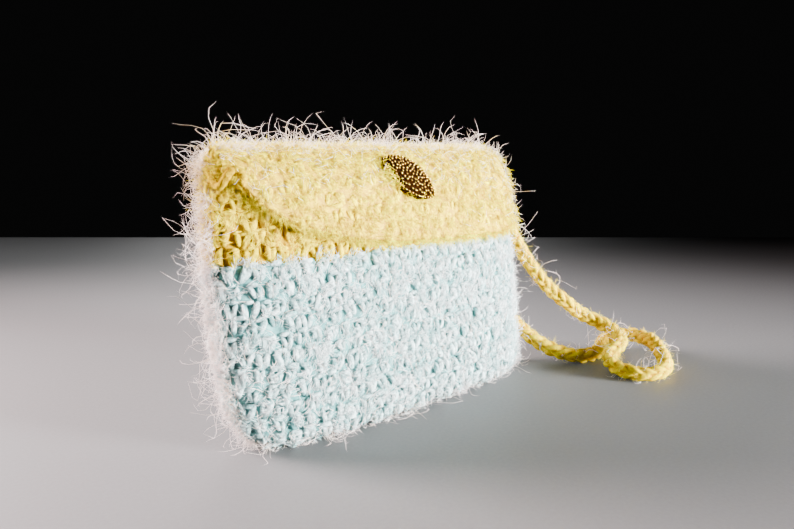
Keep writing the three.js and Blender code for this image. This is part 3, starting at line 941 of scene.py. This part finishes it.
haze("pouch_haze_front", thinned_for_shade(pouch_places(2250, *PANEL, FRONT)), 0.3, 0.35, AQUA_FIBRE)
haze("pouch_haze_back", pouch_places(1500, *PANEL, BACK), 0.3, 0.35, AQUA_FIBRE)
haze("band_haze", pouch_places(1250, *BAND), 0.3, 0.4, YELLOW_FIBRE)
flap_haze = haze("flap_haze", flap_places(2200), 0.5, 0.4, YELLOW_FIBRE)
flap_veil = strands("flap_veil", veil_places(1000, 170), VEIL_FIBRE, YELLOW)
strands("pouch_strands", pouch_places(1500, *PANEL), PALE_FIBRE, AQUA)
halo("seam_halo", [pouch_places(1900, *PANEL_EDGE, LEFT_SEAM), pouch_places(1000, *PANEL_EDGE, RIGHT_SEAM),
                   pouch_places(500, 0.5, 3)], PALE_FIBRE)
halo("band_halo", [pouch_places(800, *BAND, LEFT_SEAM), pouch_places(400, *BAND, RIGHT_SEAM)],
     FOLD_FIBRE)
edge_fibres("seam_fibres", [pouch_places(150, *SEAM, LEFT_SEAM), pouch_places(90, *SEAM, RIGHT_SEAM),
                            pouch_places(60, 0.5, 4)], PALE_FIBRE)
fold_halo = halo("fold_halo", [flap_places(950, 7, 19), flap_end(160, FLAP_LEFT, 9),
                               flap_end(170, FLAP_RIGHT, 46)], FOLD_FIBRE)
fold_fibres = edge_fibres("fold_fibres", [flap_places(190, 7, 20), flap_end(20, FLAP_LEFT, 14),
                                          flap_end(32, FLAP_RIGHT, 46)], FOLD_FIBRE)


def edge_fringe(count):
    """Short fibres that hang from the flap's free edge."""
    x = rng.uniform(FLAP_LEFT + 1, FLAP_RIGHT - 1, count)
    point, _, onward, out = on_flap(x, flap_length(x) - rng.uniform(0.2, 1.6, count))
    root = point + out * rng.uniform(-1.8, 2.0, (count, 1))
    aim = onward + out * 0.3 + rng.normal(0, 0.45, out.shape)
    long = rng.uniform(*FRINGE_LENGTHS, count)
    width = rng.uniform(*FRINGE_WIDTHS, count)
    return fibres("flap_fringe", root, aim, long, width, 1.2, YELLOW_FIBRE)


# Ends of the fold, closed with yarn, and the tail of yarn tucked in at the left one
FOLD_END_LEFT, FOLD_END_RIGHT = FLAP_LEFT + 1.6, FLAP_RIGHT - 2.0
SILL, END_INSET, CUSHION = BAND_TOP - 0.8, 0.8, 2.5
YARN_TAIL = [(-61.8, 8, 77.4), (-62, 6.5, 76.2), (-62.3, 4.4, 74.4), (-62.4, 2, 73.7), (-62.3, 0.1, 75),
             (-61.5, -0.9, 77), (-60.3, -1, 78.3), (-58.9, -0.8, 78.7), (-57.6, -1.9, 77.6),
             (-57.6, -2.8, 75.9), (-58.8, -3.1, 74)]
TAIL_RINGS, TAIL_SIDES, TAIL_RADIUS, TAIL_RUN = 35, 8, 1.1, 9.0


def left_end_rim():
    """Edge of the yarn at the fold's left end: up the fold, along the free edge and back over the rim."""
    line, _, _, out = on_flap(FOLD_END_LEFT, np.linspace(0.5, flap_length(FOLD_END_LEFT) - 0.5, 30))
    x = np.linspace(FOLD_END_LEFT, -49, 10)[1:]
    edge, _, _, edge_out = on_flap(x, flap_length(x) - END_INSET)
    back = np.stack([x, edge[:, 1] + 3.4, np.full_like(x, SILL - 0.4)], -1)[::-1]
    sill = np.array([[FOLD_END_LEFT, line[-1, 1] + 2.5, SILL], [FOLD_END_LEFT, line[0, 1], SILL]])
    rim = np.vstack([line - out * END_INSET, edge - edge_out * END_INSET, back, sill])
    return rim, (line.mean(0) + sill.mean(0)) / 2


def right_end_rim():
    """Edge of the yarn that closes the fold's right end, from the rim at the front back over the fold."""
    line, _, _, out = on_flap(FOLD_END_RIGHT, np.linspace(0.5, 30, 30))
    under = line - out * END_INSET
    under = under[under[:, 2] > SILL - 4][::-1]
    return under, (under.mean(0) + (under[0] + under[-1]) / 2) / 2


def fold_end(name, rim, middle, away, stitched, loose):
    """Cushion of yarn that closes an end of the fold, with stitches and loose fibres on it; the cushion and
    its stitches are in greyed, shaded colours, painted shade inside the fold's end.
    """
    away = unit(np.array(away))
    near, far = middle + away * CUSHION, middle - away * CUSHION
    count = len(rim)
    ring = np.arange(count)
    faces = np.concatenate([fan(ring, count), fan(ring[::-1], count + 1)])
    make_piece(name, np.vstack([rim, near, far]), [faces], FOLD_SHADE_GROUND)
    share = np.sqrt(rng.uniform(0.02, 0.95, (loose, 1)))
    place = rim[rng.integers(0, count, loose)] * share + near * (1 - share)
    out = np.ones((loose, 1)) * away
    up = np.ones((loose, 1)) * [0, 0, 1]
    across = np.cross(up, out)
    places = (place, across, up, out)
    legs = stitch_legs(*(part[:stitched] for part in places), 3.2, 3.4, 0.75, 2.0, bars=False)
    stitch_piece(name + "_stitches", [legs], FOLD_SHADE_YARN)
    haze(name + "_haze", places, 0.5, 0.6, YELLOW_FIBRE, each=1)


def yarn_tail():
    """Short tail of golden yarn that curls over the fold's end, darker than the flap's yarn partly as
    painted shade of the crease it lies in.
    """
    route = np.array(YARN_TAIL)
    marks = np.arange(len(route))
    smooth = read_line(np.linspace(0, marks[-1], TAIL_RINGS + 1), marks, route)
    for _ in range(3):
        smooth[1:-1] = (smooth[:-2] + 2 * smooth[1:-1] + smooth[2:]) / 4
    radii = TAIL_RADIUS * (1 + 0.12 * np.sin(np.arange(TAIL_RINGS) * 1.9))[None, :]
    points, faces = tubes(smooth[None], radii, TAIL_SIDES, np.array([[-1.0, 0, 0]]))
    # Tone held low along the whole tail: painted shade
    tone_and_shade = per_tube(np.full((1, TAIL_RINGS), 0.35), np.zeros(1), TAIL_SIDES)
    run = per_tube(np.linspace(0, TAIL_RUN, TAIL_RINGS)[None], np.full(1, TAIL_RUN), TAIL_SIDES)
    around = np.append(np.tile(np.arange(TAIL_SIDES) / TAIL_SIDES, TAIL_RINGS), 0.5)
    make_piece("yarn_tail", points, faces, TAIL_YARN, tone_and_shade, np.stack([run, around], -1))


fringe = edge_fringe(1300)
fold_end("fold_end_left", *left_end_rim(), (-0.8, -0.6, 0), 60, 1200)
fold_end("fold_end_right", *right_end_rim(), (1, -0.1, 0), 30, 800)
yarn_tail()
flat_length = float(np.mean(flap_length(np.linspace(FLAP_LEFT, FLAP_RIGHT, 80))))


# Ornament: a leaf of cast granules on a low dome. Half its length and width, its place and its turn
LEAF_REACH, LEAF_BREADTH = 10.8, 6.4
ORNAMENT_X, ORNAMENT_ALONG, ORNAMENT_TURN = 0.4, 30.5, math.radians(-37)
DOME_FOOT, DOME_RISE = 0.3, 2.4
GRANULE_PITCH, GRANULE_TRIES, GRANULE_SIZES = 1.18, 5000, (0.37, 0.5)
RIM_PITCH, CLOSEST = 1.1 * GRANULE_PITCH, 0.86 * GRANULE_PITCH
RIM_INSET, SCATTER_INSET = 0.45, 0.75
LEAF_ROUND_RIGHT, LEAF_ROUND_LEFT = 0.7, 0.8
FUZZ_SIDE, FUZZ_SHARE = (3.7, 4.5), 0.6


def leaf_width(x):
    """Share of the leaf's full width at a place along it: pointed at the left, rounder at the right."""
    share = np.clip(1 - (x / LEAF_REACH) ** 2, 1e-6, 1)
    return np.where(x > 0, share ** LEAF_ROUND_RIGHT, share ** LEAF_ROUND_LEFT)


def granules():
    """Middles and sizes of the granules: one row along the leaf's edge and a close scatter inside it."""
    x = np.linspace(-0.985, 0.985, 400) * LEAF_REACH
    half = (LEAF_BREADTH - RIM_INSET) * leaf_width(x)
    loop = np.vstack([np.column_stack([x, half]), np.column_stack([x, -half])[::-1]])
    gone = run_of(loop)
    middle = list(read_line(np.arange(0, gone[-1], RIM_PITCH), gone, loop))
    for place in rng.uniform(-1, 1, (GRANULE_TRIES, 2)) * [LEAF_REACH, LEAF_BREADTH]:
        inside = abs(place[1]) < (LEAF_BREADTH - SCATTER_INSET) * leaf_width(place[0])
        if inside and np.linalg.norm(np.array(middle) - place, axis=1).min() > CLOSEST:
            middle.append(place)
    middle = np.array(middle)
    sizes = rng.uniform(*GRANULE_SIZES, len(middle))
    return np.column_stack([middle, dome_height(middle) + 0.2]), sizes


def dome_height(place):
    """Height of the ornament's dome at places on it."""
    along = place[:, 0] / LEAF_REACH
    across = place[:, 1] / (LEAF_BREADTH * leaf_width(place[:, 0]))
    return DOME_FOOT + DOME_RISE * np.sqrt(np.clip((1 - along ** 2) * (1 - across ** 2), 0, 1))


def seat_ornament(points):
    """Sets points of the ornament's own frame on the outside of the flap."""
    point, _, _, out = on_flap(ORNAMENT_X, ORNAMENT_ALONG)
    across = np.array([1.0, 0, 0])
    long = across * math.cos(ORNAMENT_TURN) + np.cross(out, across) * math.sin(ORNAMENT_TURN)
    return point + out * (FABRIC / 2 + 0.3) + points @ np.stack([long, np.cross(out, long), out])


def take_shape(model):
    """Points and triangles of a modelled object, which is then removed."""
    points = np.array([v.co[:] for v in model.data.vertices])
    faces = np.array([p.vertices[:] for p in model.data.polygons])
    bpy.data.objects.remove(model, do_unlink=True)
    return points, faces


def model_granule():
    """One smooth granule of unit size."""
    bpy.ops.mesh.primitive_ico_sphere_add(subdivisions=2, radius=1)
    return take_shape(bpy.context.object)


def model_dome():
    """Upper half of a ball of unit size, closed underneath."""
    bpy.ops.mesh.primitive_uv_sphere_add(segments=40, ring_count=20, radius=1)
    dome = bpy.context.object
    bpy.ops.object.mode_set(mode="EDIT")
    bpy.ops.mesh.select_all(action="SELECT")
    bpy.ops.mesh.bisect(plane_co=(0, 0, 0), plane_no=(0, 0, 1), use_fill=True, clear_inner=True)
    bpy.ops.mesh.select_all(action="SELECT")
    bpy.ops.mesh.quads_convert_to_tris()
    bpy.ops.mesh.normals_make_consistent(inside=False)
    bpy.ops.object.mode_set(mode="OBJECT")
    return take_shape(dome)


def beaded_ornament():
    """Leaf-shaped dome with its granules, as one piece."""
    ball, dome_faces = model_dome()
    along = ball[:, 0] * LEAF_REACH
    taper = leaf_width(along) / np.sqrt(np.maximum(1 - ball[:, 0] ** 2, 1e-6))
    leaf = np.stack([along, ball[:, 1] * LEAF_BREADTH * taper, DOME_FOOT + ball[:, 2] * DOME_RISE], -1)
    leaf[:, 2] = np.where(ball[:, 2] < 1e-4, 0, leaf[:, 2])
    points, faces = model_granule()
    middles, sizes = granules()
    beads = (middles[:, None] + points[None] * sizes[:, None, None]).reshape(-1, 3)
    shift = len(leaf) + np.arange(len(middles))[:, None, None] * len(points)
    crown = np.clip(0.5 + 0.5 * points[:, 2], 0, 1)
    tone_and_shade = np.concatenate([np.zeros(len(leaf)), np.tile(crown, len(middles))])
    piece = make_piece("ornament_leaf", seat_ornament(np.vstack([leaf, beads])),
                       [dome_faces, (faces[None] + shift).reshape(-1, 3)], ANTIQUE_GOLD, tone_and_shade)
    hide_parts("beaded_ornament")


def ornament_fuzz(count):
    """Fibres of the flap that lean in over the ornament's edge, most of them at its lower left."""
    crowded = rng.random(count) < FUZZ_SHARE
    angle = np.where(crowded, rng.uniform(*FUZZ_SIDE, count), rng.uniform(0, 2 * np.pi, count))
    x = np.cos(angle) * LEAF_REACH
    y = np.sign(np.sin(angle)) * LEAF_BREADTH * leaf_width(x * 0.99)
    ring = np.column_stack([x * 1.05, y + np.sign(y) * 0.4, rng.uniform(0, 0.6, count)])
    root = seat_ornament(ring)
    aim = seat_ornament(ring * [0.8, 0.6, 1] + [0, 0, 2.2]) - root + rng.normal(0, 0.7, root.shape)
    long = rng.uniform(*FUZZ_LENGTHS, count)
    width = rng.uniform(*HALO_WIDTHS, count)
    return fibres("ornament_fuzz", root, aim, long, width, 1.6, YELLOW_FIBRE, rings=3)


beaded_ornament()
ornament_fuzz(170)


# Floor and studio light: place and target in metres, watts, size, spread in degrees and colour of each lamp
FLOOR_SIZE = 0.9
LIGHTS = {
    "rim_light": ((-0.35, 0.45, 0.3), (-0.08, 0, 0.01), 5.0, 0.25, 62, (1, 0.84, 0.84)),
    "front_light": ((0.5, -0.87, 0.13), (0.06, -0.01, 0.045), 5.9, 0.3, 30, (1, 1, 1)),
    "left_light": ((-0.7, -0.4, 0.35), (0, 0, 0.04), 0.1, 0.4, 90, (1, 0.9, 0.9)),
    "back_light": ((0.45, 0.6, 0.4), (0, 0, 0.06), 0.4, 0.5, 40, (1, 1, 1)),
}
ROOM_GLOW = (0.003, 0.003, 0.003, 1)


def pale_floor():
    bpy.ops.mesh.primitive_plane_add(size=FLOOR_SIZE)
    floor = bpy.context.object
    floor.name = "floor"
    floor.rotation_euler = (0, 0, math.radians(CAMERA_TURN))
    bpy.ops.object.transform_apply(location=True, rotation=True, scale=True)
    floor.data.materials.append(PALE_FLOOR)


def area_light(name, place, target, power, size, spread, colour):
    bpy.ops.object.light_add(type="AREA", location=place)
    lamp = bpy.context.object
    lamp.name = name
    lamp.data.energy = power
    lamp.data.size = size
    lamp.data.spread = math.radians(spread)
    lamp.data.color = colour
    away = np.array(target) - np.array(place)
    flat = math.hypot(away[0], away[1])
    lamp.rotation_euler = (math.pi / 2 + math.atan2(away[2], flat), 0, math.atan2(-away[0], away[1]))


pale_floor()
for lamp_name, lamp in LIGHTS.items():
    area_light(lamp_name, *lamp)
world = bpy.data.worlds.new("studio")
bpy.context.scene.world = world
world.use_nodes = True
world.node_tree.nodes["Background"].inputs["Color"].default_value = ROOM_GLOW
